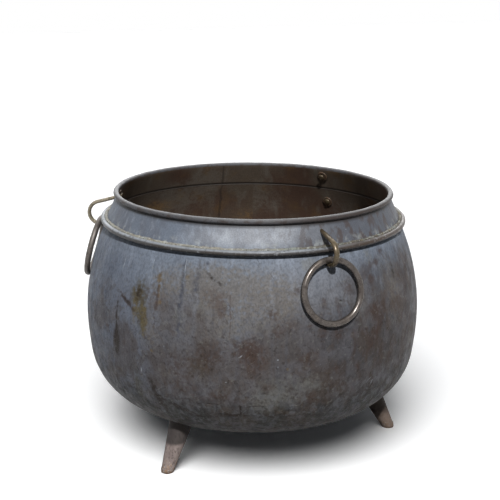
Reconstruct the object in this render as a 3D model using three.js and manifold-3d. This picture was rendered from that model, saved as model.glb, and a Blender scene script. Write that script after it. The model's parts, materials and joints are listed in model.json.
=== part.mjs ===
// A large three-legged copper cauldron, in millimetres, +Z up.
// The origin is on the ground under the pot's axis. One ear and ring face the front, -Y.
// The pot is a base pan and a belly joined by a cramped seam, and a collar lapped over the
// belly's top edge, whose rim is rolled over an iron wire. Three rod ears are riveted through
// collar and belly, each with a loose lifting ring, and three splayed feet stand between them.
import * as THREE from "three";
import { mergeVertices } from "three/addons/utils/BufferGeometryUtils.js";
import Module from "manifold-3d";

// Fits: the gap that touching pieces keep
const clearance = 0.3;

// Pot: radii are of the outside face. The joint is where the collar's lower edge lies.
const sheetThickness = 2.5;
const widestRadius = 452;
const baseHeight = 55;
const bellyDepth = 300;
const shoulderRise = 239;
const shoulderSetback = 55;
const bilgeRadius = 170;
const bilgeStart = 8.5;
const bilgeEnd = 69;
const shoulderStart = 11;
const lapLength = 20;

// Rim: a roll of the collar's sheet over a wire, above and inside the joint
const neckRise = 80;
const neckSetback = 29;
const rollRadius = 7;
const rollEndAngle = -88;

// Bead: a rod soldered over the lap of collar and belly
const beadRodRadius = 7;
const beadRise = 11;

// Cramped seam between base pan and belly
const seamRise = 149;
const seamTabHeight = 27.5;
const seamTabs = 24;
const seamStartAngle = -119.8;

// Ears: the rod's centre line, its lower leg below the joint and its bend out past it
const earDrop = 23;
const earBendRadius = 31;
const earStandoff = 53;
const earSlope = 15;
const earThin = 4.5;
const earThick = 5.3;
const earHalfWidth = 7.4;
const earFootRadius = 5.5;

// Rings
const ringOutside = 171;
const ringRodRadius = 8;
const ringInset = 1;

// Feet: the axis meets the ground a setback inside the widest radius
const footSetback = 63;
const footSplay = 27.5;
const footTopRadius = 33;
const toeRadius = 17;
const toeRounding = 12;
const tenonRadius = 11;

// Roves: washers under the riveted ends, with the head that each end is hammered into
const roveThickness = 3;
const headThickness = 4;
const earRoveRadius = 15;
const earHeadRadius = 9;
const footRoveRadius = 27;
const footHeadRadius = 17;

// Facets
const around = 48;
const rodSides = 10;
const barSides = 16;
const footSides = 20;

// Levels and radii that the sizes above add up to
const widestHeight = baseHeight + bellyDepth;
const jointHeight = widestHeight + shoulderRise;
const jointRadius = widestRadius - shoulderSetback;
const mouthHeight = jointHeight + neckRise;
const mouthRadius = jointRadius - neckSetback;
const beadHeight = jointHeight + beadRise;
const seamLow = baseHeight + seamRise;
const seamHigh = seamLow + seamTabHeight;
const earLegHeight = jointHeight - earDrop;
const earReach = jointRadius + earStandoff;
const footReach = widestRadius - footSetback;

const wasm = await Module();
wasm.setup();

const rad = THREE.MathUtils.degToRad;
const point = (r, z) => new THREE.Vector2(r, z);

// Solid from a closed geometry, for joining and cutting
function solid(geometry) {
  const bare = geometry.clone();
  bare.deleteAttribute("normal");
  bare.deleteAttribute("uv");
  const merged = mergeVertices(bare, 1e-4);
  return new wasm.Manifold(
    new wasm.Mesh({
      numProp: 3,
      vertProperties: merged.attributes.position.array,
      triVerts: new Uint32Array(merged.index.array),
    }),
  );
}

// Geometry back from a solid
function shaped(body) {
  const mesh = body.getMesh();
  const geometry = new THREE.BufferGeometry();
  geometry.setAttribute("position", new THREE.BufferAttribute(mesh.vertProperties, 3));
  geometry.setIndex(new THREE.BufferAttribute(mesh.triVerts, 1));
  geometry.computeVertexNormals();
  return geometry;
}

// Solid of revolution about Z from a section drawn as radius and height
function turned(section, segments = around) {
  const closed = section[0].x === 0 ? section : [...section, section[0].clone()];
  return new THREE.LatheGeometry(closed, segments).rotateX(Math.PI / 2);
}

// Points of an arc about (r, z), with angles in degrees from the outward direction
function arc(r, z, radius, from, to, steps) {
  return Array.from({ length: steps + 1 }, (_, i) => {
    const angle = rad(from + ((to - from) * i) / steps);
    return point(r + radius * Math.cos(angle), z + radius * Math.sin(angle));
  });
}

// The collar's cone is tangent to the rolled rim and clears the belly's cone inside it.
const lapOffset = clearance + sheetThickness / 2;
const rollMiddle = rollRadius - sheetThickness / 2;
const coneAngle =
  THREE.MathUtils.radToDeg(
    Math.atan2(neckSetback, neckRise) +
      Math.asin((lapOffset + rollMiddle) / Math.hypot(neckSetback, neckRise)),
  );
const coneNormal = point(Math.cos(rad(coneAngle)), Math.sin(rad(coneAngle)));
const coneUp = point(-coneNormal.y, coneNormal.x);

// Two unknown radii from how far a pair of arcs goes in and along
function arcRadii(a, b, along, c, d, inward) {
  const det = a * d - b * c;
  return [(along * d - b * inward) / det, (a * inward - along * c) / det];
}

const sin = (angle) => Math.sin(rad(angle));
const cos = (angle) => Math.cos(rad(angle));

// The upper belly swells in two arcs that meet at shoulderStart.
const [upperRadius, shoulderRadius] = arcRadii(
  sin(shoulderStart),
  sin(coneAngle) - sin(shoulderStart),
  shoulderRise,
  1 - cos(shoulderStart),
  cos(shoulderStart) - cos(coneAngle),
  shoulderSetback,
);

// Below the widest line, a long arc and the bilge arc run into the dish of the base.
const [lowerRadius, dishRadius] = arcRadii(
  sin(bilgeStart),
  1 - sin(bilgeEnd),
  bellyDepth - bilgeRadius * (sin(bilgeEnd) - sin(bilgeStart)),
  1 - cos(bilgeStart),
  cos(bilgeEnd),
  widestRadius - bilgeRadius * (cos(bilgeStart) - cos(bilgeEnd)),
);

// The pot's line from the middle of the base to the belly's top edge, set in from the outside
function potLine(inset) {
  const lowerCentre = point(widestRadius - lowerRadius, widestHeight);
  const bilgeCentre = point(
    lowerCentre.x + (lowerRadius - bilgeRadius) * cos(bilgeStart),
    lowerCentre.y - (lowerRadius - bilgeRadius) * sin(bilgeStart),
  );
  const upperCentre = point(widestRadius - upperRadius, widestHeight);
  const shoulderCentre = point(
    upperCentre.x + (upperRadius - shoulderRadius) * cos(shoulderStart),
    upperCentre.y + (upperRadius - shoulderRadius) * sin(shoulderStart),
  );
  const dish = arc(0, baseHeight + dishRadius, dishRadius - inset, -90, -bilgeEnd, 5);
  dish[0].x = 0;
  const top = point(jointRadius, jointHeight)
    .addScaledVector(coneUp, lapLength)
    .addScaledVector(coneNormal, -inset);
  return [
    ...dish,
    ...arc(bilgeCentre.x, bilgeCentre.y, bilgeRadius - inset, -bilgeEnd, -bilgeStart, 7).slice(1),
    ...arc(lowerCentre.x, lowerCentre.y, lowerRadius - inset, -bilgeStart, 0, 2).slice(1),
    ...arc(upperCentre.x, upperCentre.y, upperRadius - inset, 0, shoulderStart, 2).slice(1),
    ...arc(shoulderCentre.x, shoulderCentre.y, shoulderRadius - inset, shoulderStart, coneAngle, 3).slice(1),
    top,
  ];
}

// A point of the collar, at a distance up its cone and set in from its outside
function collarPoint(up, inset) {
  return point(jointRadius, jointHeight)
    .addScaledVector(coneUp, up)
    .addScaledVector(coneNormal, clearance + sheetThickness - inset);
}
const collarLength = Math.sqrt(
  neckSetback ** 2 + neckRise ** 2 - (lapOffset + rollMiddle) ** 2,
);
const collarLine = (inset) => [collarPoint(0, inset), collarPoint(collarLength, inset)];

// A layer that follows a wall, between two depths below its outside
function layer(line, from, to) {
  return solid(turned([...line(from), ...line(to).reverse()]));
}

// The pot in one piece, and the block with upstanding tabs that parts it at the cramped seam
const potBody = layer(potLine, 0, sheetThickness);
function seamBlock(grow) {
  const size = 4 * widestRadius;
  const below = seamLow + grow;
  let block = solid(new THREE.BoxGeometry(size, size, size).translate(0, 0, below - size / 2));
  const half = 180 / seamTabs;
  const slack = THREE.MathUtils.radToDeg(grow / widestRadius);
  for (let i = 0; i < seamTabs; i++) {
    const from = seamStartAngle + i * 2 * half - slack;
    const to = from + half + 2 * slack;
    const wedge = new THREE.Shape([
      new THREE.Vector2(0, 0),
      new THREE.Vector2(size * cos(from), size * sin(from)),
      new THREE.Vector2(size * cos(to), size * sin(to)),
    ]);
    const height = seamTabHeight + sheetThickness;
    const tab = new THREE.ExtrudeGeometry(wedge, { depth: height, bevelEnabled: false });
    block = block.add(solid(tab.translate(0, 0, seamHigh + grow - height)));
  }
  return block;
}

// A rod along a path in the front radial plane, with a half depth and half width at each point
function rod(path, depth, width) {
  const corners = [];
  path.forEach((at, i) => {
    const before = path[Math.max(i - 1, 0)];
    const after = path[Math.min(i + 1, path.length - 1)];
    const run = after.clone().sub(before).normalize();
    for (let k = 0; k < rodSides; k++) {
      const turn = (2 * Math.PI * k) / rodSides;
      const inPlane = depth(i) * Math.cos(turn);
      corners.push(width(i) * Math.sin(turn), -(at.x - run.y * inPlane), at.y + run.x * inPlane);
    }
  });
  const faces = [];
  const last = (path.length - 1) * rodSides;
  for (let k = 0; k < rodSides; k++) {
    const next = (k + 1) % rodSides;
    for (let base = 0; base < last; base += rodSides) {
      const [a, b, c, d] = [base + k, base + next, base + rodSides + k, base + rodSides + next];
      faces.push(a, c, b, b, c, d);
    }
    if (k > 0 && k < rodSides - 1) {
      faces.push(0, k, k + 1, last, last + k + 1, last + k);
    }
  }
  const geometry = new THREE.BufferGeometry();
  geometry.setAttribute("position", new THREE.Float32BufferAttribute(corners, 3));
  geometry.setIndex(faces);
  return geometry;
}

// A straight round bar in the front radial plane, from a point along a direction
function bar(at, direction, radius, length) {
  const shape = new THREE.CylinderGeometry(radius, radius, length, barSides);
  shape.translate(0, length / 2, 0).rotateX(Math.PI / 2);
  return stood(shape, at, direction);
}

// A shape made along +Z, laid along a direction in the front radial plane
function stood(shape, at, direction) {
  const along = new THREE.Vector3(0, -direction.x, direction.y).normalize();
  const turn = new THREE.Quaternion().setFromUnitVectors(new THREE.Vector3(0, 0, 1), along);
  return shape.applyQuaternion(turn).translate(0, -at.x, at.y);
}

// How far along a ray a wall line is crossed
function crossing(line, at, direction) {
  for (let i = 0; i < line.length - 1; i++) {
    const edge = line[i + 1].clone().sub(line[i]);
    const det = direction.cross(edge);
    const gap = line[i].clone().sub(at);
    const along = gap.cross(edge) / det;
    const share = gap.cross(direction) / det;
    if (along > 0 && share >= 0 && share <= 1) return along;
  }
  throw new Error("a rod misses its wall");
}

// Depths below the outside of a wall at which the rove and the head lie
const roveDepth = sheetThickness + clearance;
const headDepth = roveDepth + roveThickness + clearance;
const headEnd = headDepth + headThickness;

// Ear: from the collar out over the bead, round the bend, and back into the belly
const bendCentre = point(earReach - earBendRadius, earLegHeight + earBendRadius);
const upperStart = arc(bendCentre.x, bendCentre.y, earBendRadius, 90 - earSlope, 90 - earSlope, 1)[0];
const upperInward = point(-cos(earSlope), sin(earSlope));
const lowerStart = point(bendCentre.x, earLegHeight);
const inward = point(-1, 0);
const endSetback = headThickness / 2;
const upperLength = crossing(collarLine(headEnd - endSetback), upperStart, upperInward);
const lowerLength = crossing(potLine(headEnd - endSetback), lowerStart, inward);
const legSteps = 3;
const bendSteps = 12;
const earPath = [];
for (let i = legSteps; i > 0; i--) {
  earPath.push(upperStart.clone().addScaledVector(upperInward, (upperLength * i) / legSteps));
}
earPath.push(...arc(bendCentre.x, bendCentre.y, earBendRadius, 90 - earSlope, -90, bendSteps));
for (let i = 1; i <= legSteps; i++) {
  earPath.push(lowerStart.clone().addScaledVector(inward, (lowerLength * i) / legSteps));
}
const bottom = legSteps + bendSteps;
const swell = (i) => THREE.MathUtils.smoothstep(i, legSteps, bottom);
const draw = (i) => THREE.MathUtils.smoothstep(i, bottom, bottom + 2);
const mix = THREE.MathUtils.lerp;
const earDepth = (grow) => (i) => grow + mix(mix(earThin, earThick, swell(i)), earFootRadius, draw(i));
const earWidth = (grow) => (i) => grow + mix(mix(earThin, earHalfWidth, swell(i)), earFootRadius, draw(i));
const earRod = solid(rod(earPath, earDepth(0), earWidth(0)));
const earHole = solid(rod(earPath, earDepth(clearance), earWidth(clearance)));

// Where a leg goes through its wall: the rove and the hammered head follow the wall's face.
function riveted(line, at, direction, roveRadius, headRadius, hole) {
  const far = 2 * roveRadius + headEnd;
  const start = at.clone().addScaledVector(direction, crossing(line(0), at, direction) - roveRadius);
  const rove = solid(bar(start, direction, roveRadius, far))
    .intersect(layer(line, roveDepth, roveDepth + roveThickness))
    .subtract(hole);
  const head = solid(bar(start, direction, headRadius, far)).intersect(layer(line, headDepth, headEnd));
  return { rove, head };
}
const upperEnd = riveted(collarLine, upperStart, upperInward, earRoveRadius, earHeadRadius, earHole);
const lowerEnd = riveted(potLine, lowerStart, inward, earRoveRadius, earHeadRadius, earHole);
const ear = earRod.add(upperEnd.head).add(lowerEnd.head);

// Ring: hangs on the ear's lower leg and leans on the belly
const ringRadius = ringOutside / 2 - ringRodRadius;
const pivot = point(
  bendCentre.x - ringInset,
  earLegHeight + earThick + clearance + ringRodRadius,
);
function wallGap(at) {
  const line = potLine(0);
  let gap = Infinity;
  for (let i = 0; i < line.length - 1; i++) {
    const edge = line[i + 1].clone().sub(line[i]);
    const share = THREE.MathUtils.clamp(at.clone().sub(line[i]).dot(edge) / edge.lengthSq(), 0, 1);
    gap = Math.min(gap, line[i].clone().addScaledVector(edge, share).distanceTo(at));
  }
  return gap;
}
let [leanIn, leanOut] = [0, 60];
while (leanOut - leanIn > 1e-6) {
  const lean = (leanIn + leanOut) / 2;
  const low = point(pivot.x + 2 * ringRadius * sin(lean), pivot.y - 2 * ringRadius * cos(lean));
  if (wallGap(low) < ringRodRadius + clearance) leanIn = lean;
  else leanOut = lean;
}
const ringShape = new THREE.TorusGeometry(ringRadius, ringRodRadius, rodSides, 32)
  .rotateX(Math.PI / 2)
  .translate(0, 0, -ringRadius);

// Foot: a splayed taper with a worn toe, cut to the pan above and to the ground below
const footUp = point(-sin(footSplay), cos(footSplay));
const toe = point(footReach, 0);
const footLength = crossing(potLine(0), toe, footUp);
const footSection = [
  point(0, -toeRounding / 2),
  point(toeRadius - toeRounding / 2, -toeRounding / 2),
  point(toeRadius - toeRounding / 6, toeRounding / 4),
  point(toeRadius, toeRounding),
  point(footTopRadius, footLength),
  point(footTopRadius, footLength + footTopRadius),
  point(0, footLength + footTopRadius),
];
const above = solid(
  new THREE.BoxGeometry(4 * widestRadius, 4 * widestRadius, baseHeight * 8).translate(0, 0, baseHeight * 4),
);
const insidePot = solid(turned([...potLine(-clearance), point(0, jointHeight)]));
const headReach = crossing(potLine(headEnd - endSetback), toe, footUp);
const tenonFoot = toe.clone().addScaledVector(footUp, footLength / 2);
const tenon = (radius) => solid(bar(tenonFoot, footUp, radius, headReach - footLength / 2));
const tenonHole = tenon(tenonRadius + clearance);
const footEnd = riveted(potLine, tenonFoot, footUp, footRoveRadius, footHeadRadius, tenonHole);
const foot = solid(stood(turned(footSection, footSides), toe, footUp))
  .intersect(above)
  .subtract(insidePot)
  .add(tenon(tenonRadius))
  .add(footEnd.head);

// Everything that goes through the walls, at each of its places: the ears stand a third of a
// turn apart, counted from the front one, and each foot is half way between two ears.
const ears = ["front", "right", "left"];
const feet = ["right", "back", "left"];
const earAngle = (i) => (360 * i) / ears.length;
const footAngle = (i) => earAngle(i + 1 / 2);
const turnedBy = (body, angle) => body.rotate([0, 0, angle]);
let basePan = potBody.intersect(seamBlock(-clearance / 2));
let belly = potBody.subtract(seamBlock(clearance / 2));
feet.forEach((side, i) => {
  basePan = basePan.subtract(turnedBy(tenonHole, footAngle(i)));
});

// Collar: the cone runs tangent into the roll, whose end stops short of the cone.
const curlSteps = 10;
const rollStart = 180 + coneAngle;
let collar = solid(
  turned([
    collarPoint(0, 0),
    ...arc(mouthRadius, mouthHeight, rollRadius - sheetThickness, rollStart, rollEndAngle, curlSteps),
    ...arc(mouthRadius, mouthHeight, rollRadius, rollEndAngle, rollStart, curlSteps),
    collarPoint(0, sheetThickness),
  ]),
);
ears.forEach((side, i) => {
  const hole = turnedBy(earHole, earAngle(i));
  belly = belly.subtract(hole);
  collar = collar.subtract(hole);
});

// Bead: touches the collar's cone at the chosen height
const beadOffset = sheetThickness + 2 * clearance + beadRodRadius;
const beadUp = (beadHeight - jointHeight - beadOffset * coneNormal.y) / coneUp.y;
const beadRadius = jointRadius + beadUp * coneUp.x + beadOffset * coneNormal.x;
const beadShape = new THREE.TorusGeometry(beadRadius, beadRodRadius, rodSides, around).translate(0, 0, beadHeight);
const wireShape = new THREE.TorusGeometry(
  mouthRadius,
  rollRadius - sheetThickness - clearance,
  8,
  around,
).translate(0, 0, mouthHeight);

// Finishes
const finish = (color, roughness, metalness = 0.9) =>
  new THREE.MeshStandardMaterial({ color, roughness, metalness });
const patina = finish("#5a5c62", 0.6);
const beadMetal = finish("#605c54", 0.5);
const earMetal = finish("#7a6a4a", 0.45);
const ringMetal = finish("#5d5148", 0.4);
const footMetal = finish("#6b5d5a", 0.7);
const iron = finish("#3a3836", 0.6);
const roveMetal = finish("#5b4a3e", 0.55);

const cauldron = new THREE.Group();
function place(name, geometry, material, parent = cauldron) {
  const mesh = new THREE.Mesh(geometry, material);
  mesh.name = name;
  parent.add(mesh);
  return mesh;
}

place("base_pan", shaped(basePan), patina);
place("belly_shell", shaped(belly), patina);
place("neck_collar", shaped(collar), patina);
place("rim_wire", wireShape, iron);
place("shoulder_bead", beadShape, beadMetal);

function stationAt(angle) {
  const station = new THREE.Group();
  station.rotation.z = rad(angle);
  cauldron.add(station);
  return station;
}

ears.forEach((side, i) => {
  const station = stationAt(earAngle(i));
  place("ear_" + side, shaped(ear), earMetal, station);
  place("upper_rove_" + side, shaped(upperEnd.rove), roveMetal, station);
  place("lower_rove_" + side, shaped(lowerEnd.rove), roveMetal, station);
  const ring = place("ring_" + side, ringShape, ringMetal, station);
  ring.position.set(0, -pivot.x, pivot.y);
  ring.rotation.x = -rad(leanOut);
});

feet.forEach((side, i) => {
  const station = stationAt(footAngle(i));
  place("foot_" + side, shaped(foot), footMetal, station);
  place("foot_rove_" + side, shaped(footEnd.rove), roveMetal, station);
});

export default cauldron;
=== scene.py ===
# A large three-legged copper cauldron: an aged copper pot with a rolled rim and a soldered bead,
# three rod ears with loose lifting rings, and three splayed cast feet.
# Metres, +Z up, the origin on the ground under the pot's axis, the front ear towards -Y.
import json
from math import acos, atan2, cos, degrees, pi, radians, sin

import bmesh
import bpy
from mathutils import Matrix, Vector


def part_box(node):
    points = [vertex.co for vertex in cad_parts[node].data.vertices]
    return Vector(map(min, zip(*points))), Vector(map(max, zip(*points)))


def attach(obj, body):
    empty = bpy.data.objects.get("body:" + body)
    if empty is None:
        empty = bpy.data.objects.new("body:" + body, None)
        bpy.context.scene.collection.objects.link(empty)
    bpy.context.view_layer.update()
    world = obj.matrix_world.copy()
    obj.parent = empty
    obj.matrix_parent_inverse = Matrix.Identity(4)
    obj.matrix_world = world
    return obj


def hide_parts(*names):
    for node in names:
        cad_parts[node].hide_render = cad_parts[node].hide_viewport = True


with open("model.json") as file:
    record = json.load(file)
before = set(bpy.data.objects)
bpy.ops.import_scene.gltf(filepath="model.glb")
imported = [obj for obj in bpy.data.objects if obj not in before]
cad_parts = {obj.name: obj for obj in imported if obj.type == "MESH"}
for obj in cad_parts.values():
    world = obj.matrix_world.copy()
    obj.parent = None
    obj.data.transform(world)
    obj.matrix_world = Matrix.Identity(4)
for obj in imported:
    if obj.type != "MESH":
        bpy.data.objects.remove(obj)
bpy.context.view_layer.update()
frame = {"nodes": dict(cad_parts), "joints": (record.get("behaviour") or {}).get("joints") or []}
nodes = frame["nodes"]
origin = (0, 0, 0)

# Camera
# A long lens a little above the rim looks down on the pot, with the front ear to its right.
# Place, turn and lens come from fitting the rim, bead and feet to the photograph.
camera_place = Vector((-1.29722, -2.63165, 1.296))
camera_heading = -26.09
camera_pitch = 74.93
camera_roll = 0.45
camera_lens = 79.86
bpy.ops.object.camera_add(location=camera_place)
camera = bpy.context.object
camera.data.sensor_width = 36
camera.data.lens = camera_lens
turn = (
    Matrix.Rotation(radians(camera_heading), 4, "Z")
    @ Matrix.Rotation(radians(camera_pitch), 4, "X")
    @ Matrix.Rotation(radians(camera_roll), 4, "Z")
)
camera.matrix_world = Matrix.Translation(camera_place) @ turn
bpy.context.scene.camera = camera
bpy.context.scene.view_settings.view_transform = "Standard"

# Floor and light
# A white studio floor that keeps the soft shadow. The high lamp and the left and back softboxes
# light the pot alone, the broad floor lamp the floor alone, and the top softbox both. The
# background is white to the camera and to reflections alone.
lamps = {
    "high_lamp": {"heading": -109, "height": 46, "strength": 4.1, "softness": 2},
    "floor_lamp": {"heading": -126, "height": 53, "strength": 3.5, "softness": 40},
    "left_softbox": {"heading": -170, "height": 30, "strength": 0.20, "softness": 60},
    "top_softbox": {"heading": -125, "height": 76, "strength": 0.14, "softness": 80},
    "back_softbox": {"heading": 64, "height": 32, "strength": 1.8, "softness": 60},
}
sky_colour = (0.86, 0.92, 1.0)
sky_strength = 0.09
floor_width = 30
floor_seen = 1.15
floor_bounce = 0.16


def lamp(name, heading, height, strength, softness):
    bpy.ops.object.light_add(type="SUN", location=(0, 0, 3))
    light = bpy.context.object
    light.name = name
    light.data.energy = strength
    light.data.angle = radians(softness)
    light.rotation_euler = (radians(90 - height), 0, radians(heading + 90))
    return light


lights = {name: lamp(name, **setting) for name, setting in lamps.items()}


def seen_directly(tree):
    """1 where a camera, mirror or glass ray looks, and 0 for the light that falls on the pot"""
    rays = tree.nodes.new("ShaderNodeLightPath")
    total = rays.outputs["Is Camera Ray"]
    for kind in ("Is Glossy Ray", "Is Transmission Ray"):
        most = tree.nodes.new("ShaderNodeMath")
        most.operation = "MAXIMUM"
        tree.links.new(total, most.inputs[0])
        tree.links.new(rays.outputs[kind], most.inputs[1])
        total = most.outputs[0]
    return total


def two_faced(tree, hidden, shown, output):
    mix = tree.nodes.new("ShaderNodeMixShader")
    tree.links.new(seen_directly(tree), mix.inputs[0])
    tree.links.new(hidden.outputs[0], mix.inputs[1])
    tree.links.new(shown.outputs[0], mix.inputs[2])
    tree.links.new(mix.outputs[0], output.inputs["Surface"])


world = bpy.data.worlds.new("studio")
bpy.context.scene.world = world
world.use_nodes = True
sky = world.node_tree.nodes["Background"]
sky.inputs["Color"].default_value = (*sky_colour, 1)
sky.inputs["Strength"].default_value = sky_strength
white = world.node_tree.nodes.new("ShaderNodeBackground")
white.inputs["Color"].default_value = (1, 1, 1, 1)
two_faced(world.node_tree, sky, white, world.node_tree.nodes["World Output"])

bpy.ops.object.select_all(action="DESELECT")
bpy.ops.mesh.primitive_plane_add(size=floor_width)
floor = bpy.context.object
floor.name = "floor"
floor_paint = bpy.data.materials.new("floor_paint")
floor_paint.use_nodes = True
floor_tree = floor_paint.node_tree
floor_tree.nodes.remove(floor_tree.nodes["Principled BSDF"])
floor_sides = []
for level in (floor_bounce, floor_seen):
    side = floor_tree.nodes.new("ShaderNodeBsdfDiffuse")
    side.inputs["Color"].default_value = (level, level, level, 1)
    floor_sides.append(side)
two_faced(floor_tree, *floor_sides, floor_tree.nodes["Material Output"])
floor.data.materials.append(floor_paint)
for name, light in lights.items():
    if name != "top_softbox":
        lit = bpy.data.collections.new(name + "_lights")
        light.light_linking.receiver_collection = lit
        lit.objects.link(floor)
        share = "INCLUDE" if name == "floor_lamp" else "EXCLUDE"
        lit.collection_objects[0].light_linking.link_state = share

# Pot wall: base pan and belly
# Two pieces of 2.5 mm copper, raised with the hammer. The pan's upstanding tabs are cramped
# between the belly's, brazed and hammered flush, and the belly closes on an upright seam.
sheet = 0.0025
widest_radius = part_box("belly_shell")[1].x
widest_height = 0.355
base_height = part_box("base_pan")[0].z
bowl_arcs = [
    (0.70325, 8.5, 9), (0.170, 6.75, 2), (0.170, 9.9, 3), (0.170, 43.85, 13), (0.94056, 21, 30),
]
shoulder_arcs = [(0.51457, 11, 9), (0.61388, 13.85, 13)]
lap_length = 0.020
lap_steps = 2
pot_columns = 240
seam_start = -119.8
seam_tabs = 24
seam_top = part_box("base_pan")[1].z
seam_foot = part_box("belly_shell")[0].z
seam_edge = 0.0011
hammer_size = 0.075
hammer_depth = 0.0016
weld_distance = 0.0002
slack = 0.001
smooth_angle = 40
seam_angle = 60
top_edge_depth = 0.004


def walk(at, tilt, arcs, rising=1):
    """Section points, radius and height, along arcs that lean in from a tilt off upright.
    Each arc has a radius in metres, a bend in degrees and a count of steps."""
    r, z = at
    points = [Vector((r, z))]
    for radius, bend, steps in arcs:
        half = radians(bend) / steps / 2
        for _ in range(steps):
            tilt += half
            r -= 2 * radius * sin(half) * sin(tilt)
            z += 2 * radius * sin(half) * cos(tilt) * rising
            tilt += half
            points.append(Vector((r, z)))
    return points


def only(piece):
    """Makes a piece the one that is selected and worked on"""
    bpy.ops.object.select_all(action="DESELECT")
    piece.select_set(True)
    bpy.context.view_layer.objects.active = piece


def turned(name, section, columns, start=0, closed=False):
    """Sheet turned about the pot's axis: a vertex drawn out along the section, then spun"""
    bpy.ops.object.select_all(action="DESELECT")
    bpy.ops.mesh.primitive_plane_add(size=0.01)
    piece = bpy.context.object
    piece.name = name
    bpy.ops.object.mode_set(mode="EDIT")
    bpy.ops.mesh.select_mode(type="VERT")
    bpy.ops.mesh.select_all(action="SELECT")
    bpy.ops.mesh.merge(type="CENTER")
    out = Vector((cos(radians(start)), sin(radians(start)), 0))
    spots = [out * at[0] + Vector((0, 0, at[1])) for at in section]
    if closed:
        spots.append(spots[0])
    bpy.ops.transform.translate(value=spots[0])
    for before, after in zip(spots, spots[1:]):
        bpy.ops.mesh.extrude_vertices_move(TRANSFORM_OT_translate={"value": after - before})
    bpy.ops.mesh.select_all(action="SELECT")
    bpy.ops.mesh.spin(steps=columns, angle=2 * pi, center=origin, axis=(0, 0, 1))
    bpy.ops.mesh.select_all(action="SELECT")
    bpy.ops.mesh.remove_doubles(threshold=weld_distance)
    bpy.ops.mesh.normals_make_consistent(inside=False)
    bpy.ops.object.mode_set(mode="OBJECT")
    return piece


def modified(piece, kind, **settings):
    """Adds a modifier with its settings and applies it"""
    only(piece)
    modifier = piece.modifiers.new(kind.lower(), kind)
    for key, value in settings.items():
        setattr(modifier, key, value)
    bpy.ops.object.modifier_apply(modifier=modifier.name)


def hammered(piece, size, depth):
    """Raises and sinks a surface a little, as hand hammering leaves it"""
    blows = bpy.data.textures.new(piece.name + "_blows", "CLOUDS")
    blows.noise_scale = size
    blows.noise_depth = 1
    modified(piece, "DISPLACE", texture=blows, texture_coords="LOCAL", strength=depth, mid_level=0.5)


def pick_faces(piece, wanted):
    """Selects in edit mode the faces whose middle and normal are wanted"""
    only(piece)
    bpy.ops.object.mode_set(mode="EDIT")
    bpy.ops.mesh.select_all(action="DESELECT")
    bpy.ops.mesh.select_mode(type="FACE")
    mesh = bmesh.from_edit_mesh(piece.data)
    for face in mesh.faces:
        face.select_set(wanted(face.calc_center_median(), face.normal))
    bmesh.update_edit_mesh(piece.data)


def azimuth(at):
    return degrees(atan2(at.y, at.x))


def in_base_pan(middle, normal):
    """Below the seam, or in one of the tabs that stand up between its two levels"""
    if middle.z < seam_foot + slack:
        return True
    tab = ((azimuth(middle) - seam_start) % 360) * seam_tabs / 360
    return middle.z < seam_top - slack and tab % 1 < 0.5


bowl = walk((widest_radius, widest_height), 0, bowl_arcs, rising=-1)
bowl[-1] = Vector((0, base_height))
bowl_up = list(reversed(bowl))
shoulder = walk((widest_radius, widest_height), 0, shoulder_arcs)
cone_tilt = radians(sum(arc[1] for arc in shoulder_arcs))
cone_up = Vector((-sin(cone_tilt), cos(cone_tilt)))
joint = shoulder[-1].copy()
shoulder += [joint + cone_up * lap_length * (i + 1) / lap_steps for i in range(lap_steps)]
pot_section = bowl_up + shoulder[1:]
belly_wall = turned("belly_wall", pot_section, pot_columns, seam_start)
hammered(belly_wall, hammer_size, hammer_depth)
pick_faces(belly_wall, in_base_pan)
bpy.ops.mesh.separate(type="SELECTED")
bpy.ops.object.mode_set(mode="OBJECT")
pan_wall = next(o for o in bpy.context.selected_objects if o != belly_wall)
pan_wall.name = "base_pan_wall"


front_middle = -116
stain_wander = 0.018
stain_fade = 2.0
stain_frays = 105.0
fray_gain = 3.2
fray_shift = -0.7
stain_edge = (0.04, 0.90)
wander_scale = 26.0
scratch_edge = 0.05


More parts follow.
